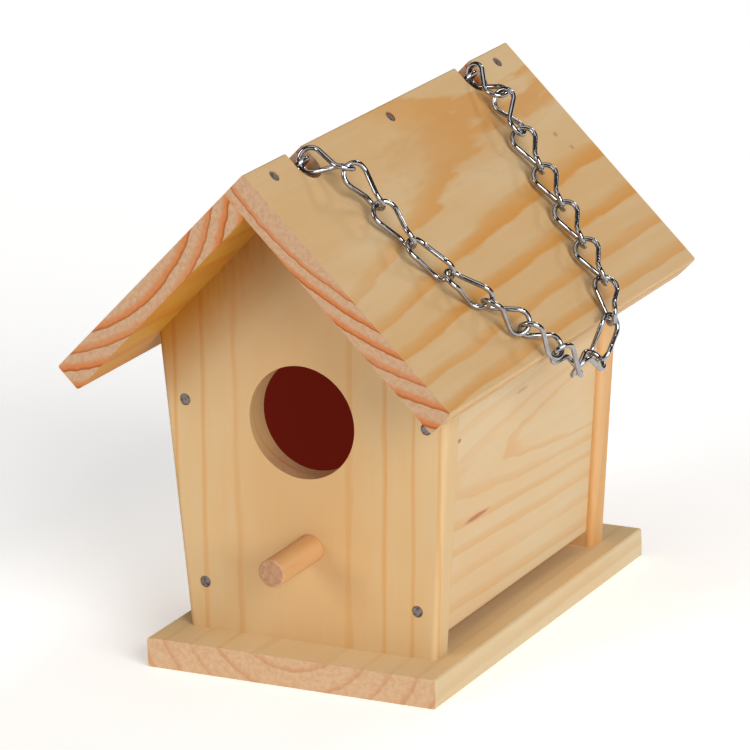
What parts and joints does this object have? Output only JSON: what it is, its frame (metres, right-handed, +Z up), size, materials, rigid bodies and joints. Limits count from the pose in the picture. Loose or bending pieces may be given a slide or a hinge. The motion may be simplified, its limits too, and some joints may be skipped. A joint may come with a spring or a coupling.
{
  "type": "birdhouse",
  "caption": "Hanging birdhouse of pine boards with a gabled box, square-ridged roof, round entry hole, perch dowel, ledge floor and a twisted-link chain between two screw eyes.",
  "frame": {"origin": "centre of the floor board's underside", "axes": "+Z up, -Y out through the entry hole, +X to the house's right as seen from the front"},
  "size_m": [0.1485, 0.19, 0.1776],
  "materials": {
    "floor_pine": "sanded, unfinished",
    "panel_pine": "sanded, unfinished",
    "wall_pine": "sanded, unfinished",
    "roof_pine": "sanded, unfinished, bold growth rings",
    "dowel_wood": "sanded, unfinished",
    "nail_steel": "dull, slightly browned",
    "bright_wire": "bright nickel plate"
  },
  "bodies": {
    "house": {"floor_board": "floor_pine", "front_panel": "panel_pine", "back_panel": "panel_pine", "left_wall": "wall_pine", "right_wall": "wall_pine", "left_roof_board": "roof_pine", "right_roof_board": "roof_pine", "perch_dowel": "dowel_wood", "front_wall_nails": "nail_steel", "back_wall_nails": "nail_steel", "ridge_nails": "nail_steel", "floor_nails": "nail_steel", "front_screw_eye": "bright_wire", "rear_screw_eye": "bright_wire"},
    "chain_link_01": {"chain_link_01": "bright_wire"},
    "chain_link_02": {"chain_link_02": "bright_wire"},
    "chain_link_03": {"chain_link_03": "bright_wire"},
    "chain_link_04": {"chain_link_04": "bright_wire"},
    "chain_link_05": {"chain_link_05": "bright_wire"},
    "chain_link_06": {"chain_link_06": "bright_wire"},
    "chain_link_07": {"chain_link_07": "bright_wire"},
    "chain_link_08": {"chain_link_08": "bright_wire"},
    "chain_link_09": {"chain_link_09": "bright_wire"},
    "chain_link_10": {"chain_link_10": "bright_wire"},
    "chain_link_11": {"chain_link_11": "bright_wire"},
    "chain_link_12": {"chain_link_12": "bright_wire"},
    "chain_link_13": {"chain_link_13": "bright_wire"},
    "chain_link_14": {"chain_link_14": "bright_wire"},
    "chain_link_15": {"chain_link_15": "bright_wire"},
    "chain_link_16": {"chain_link_16": "bright_wire"},
    "chain_link_17": {"chain_link_17": "bright_wire"}
  },
  "joints": [
    {"name": "chain_lift", "type": "hinge", "parent": "house", "child": "chain_link_01", "pos_m": [0.00424, -0.066, 0.17331], "axis": [0.0033, -1, 0.0056], "range_deg": [0, 99.9]},
    {"name": "link_02_follow", "type": "hinge", "parent": "chain_link_01", "child": "chain_link_02", "pos_m": [0.01822, -0.06309, 0.1708], "axis": [-0.174, -0.9847, -0.0109], "range_deg": [-0.5, 50.6]},
    {"name": "link_03_follow", "type": "hinge", "parent": "chain_link_02", "child": "chain_link_03", "pos_m": [0.02602, -0.05865, 0.15804], "axis": [0.3367, 0.4567, 0.8235], "range_deg": [-0.5, 20.4]},
    {"name": "link_04_follow", "type": "hinge", "parent": "chain_link_03", "child": "chain_link_04", "pos_m": [0.03665, -0.0581, 0.14664], "axis": [-0.2629, 0.1747, -0.9489], "range_deg": [-0.5, 17.1]},
    {"name": "link_05_follow", "type": "hinge", "parent": "chain_link_04", "child": "chain_link_05", "pos_m": [0.04714, -0.05328, 0.13615], "axis": [-0.509, -0.0694, -0.858], "range_deg": [-0.5, 5.9]},
    {"name": "link_06_follow", "type": "hinge", "parent": "chain_link_05", "child": "chain_link_06", "pos_m": [0.05688, -0.04596, 0.12641], "axis": [0.7507, 0.5392, -0.3818], "range_deg": [-0.5, 32.5]},
    {"name": "link_07_follow", "type": "hinge", "parent": "chain_link_06", "child": "chain_link_07", "pos_m": [0.06624, -0.03769, 0.11705], "axis": [0.7845, 0.6086, -0.1189], "range_deg": [-0.5, 16.2]},
    {"name": "link_08_follow", "type": "hinge", "parent": "chain_link_07", "child": "chain_link_08", "pos_m": [0.07352, -0.02816, 0.10708], "axis": [0.0406, 0.5188, -0.8539], "range_deg": [-0.5, 26.8]},
    {"name": "link_09_follow", "type": "hinge", "parent": "chain_link_08", "child": "chain_link_09", "pos_m": [0.07407, -0.01582, 0.09755], "axis": [-0.6796, -0.3195, 0.6603], "range_deg": [-0.5, 45.9]},
    {"name": "link_17_follow", "type": "hinge", "parent": "house", "child": "chain_link_17", "pos_m": [0.00424, 0.056, 0.17331], "axis": [0.0021, -1, 0.0079], "range_deg": [-0.5, 112.1]},
    {"name": "link_16_follow", "type": "hinge", "parent": "chain_link_17", "child": "chain_link_16", "pos_m": [0.01677, 0.05053, 0.16847], "axis": [0.5053, -0.8625, 0.0278], "range_deg": [-0.5, 36.6]},
    {"name": "link_15_follow", "type": "hinge", "parent": "chain_link_16", "child": "chain_link_15", "pos_m": [0.0264, 0.0447, 0.15768], "axis": [0.5684, -0.3188, -0.7585], "range_deg": [-0.5, 25.2]},
    {"name": "link_14_follow", "type": "hinge", "parent": "chain_link_15", "child": "chain_link_14", "pos_m": [0.03651, 0.03911, 0.14719], "axis": [-0.716, 0.3551, 0.601], "range_deg": [-0.5, 22.4]},
    {"name": "link_13_follow", "type": "hinge", "parent": "chain_link_14", "child": "chain_link_13", "pos_m": [0.04674, 0.03326, 0.13696], "axis": [-0.7271, 0.3621, 0.5833], "range_deg": [-0.5, 26.6]},
    {"name": "link_12_follow", "type": "hinge", "parent": "chain_link_13", "child": "chain_link_12", "pos_m": [0.05689, 0.02717, 0.12681], "axis": [-0.8287, 0.5188, 0.2098], "range_deg": [-0.5, 27.5]},
    {"name": "link_11_follow", "type": "hinge", "parent": "chain_link_12", "child": "chain_link_11", "pos_m": [0.06724, 0.02107, 0.11685], "axis": [0.4756, -0.6631, -0.5781], "range_deg": [-0.5, 13.5]},
    {"name": "link_10_follow", "type": "hinge", "parent": "chain_link_11", "child": "chain_link_10", "pos_m": [0.07431, 0.01156, 0.1067], "axis": [-0.036, -0.9699, -0.2406], "range_deg": [-0.5, 35.6]}
  ],
  "couplings": [
    {"joint": "link_02_follow", "follows": "chain_lift", "ratio": 0.5003},
    {"joint": "link_03_follow", "follows": "chain_lift", "ratio": 0.19805},
    {"joint": "link_04_follow", "follows": "chain_lift", "ratio": 0.16511},
    {"joint": "link_05_follow", "follows": "chain_lift", "ratio": 0.0529},
    {"joint": "link_06_follow", "follows": "chain_lift", "ratio": 0.31888},
    {"joint": "link_07_follow", "follows": "chain_lift", "ratio": 0.15655},
    {"joint": "link_08_follow", "follows": "chain_lift", "ratio": 0.26269},
    {"joint": "link_09_follow", "follows": "chain_lift", "ratio": 0.45343},
    {"joint": "link_17_follow", "follows": "chain_lift", "ratio": 1.1161},
    {"joint": "link_16_follow", "follows": "chain_lift", "ratio": 0.36043},
    {"joint": "link_15_follow", "follows": "chain_lift", "ratio": 0.24663},
    {"joint": "link_14_follow", "follows": "chain_lift", "ratio": 0.21779},
    {"joint": "link_13_follow", "follows": "chain_lift", "ratio": 0.26034},
    {"joint": "link_12_follow", "follows": "chain_lift", "ratio": 0.26913},
    {"joint": "link_11_follow", "follows": "chain_lift", "ratio": 0.12891},
    {"joint": "link_10_follow", "follows": "chain_lift", "ratio": 0.3503}
  ]
}
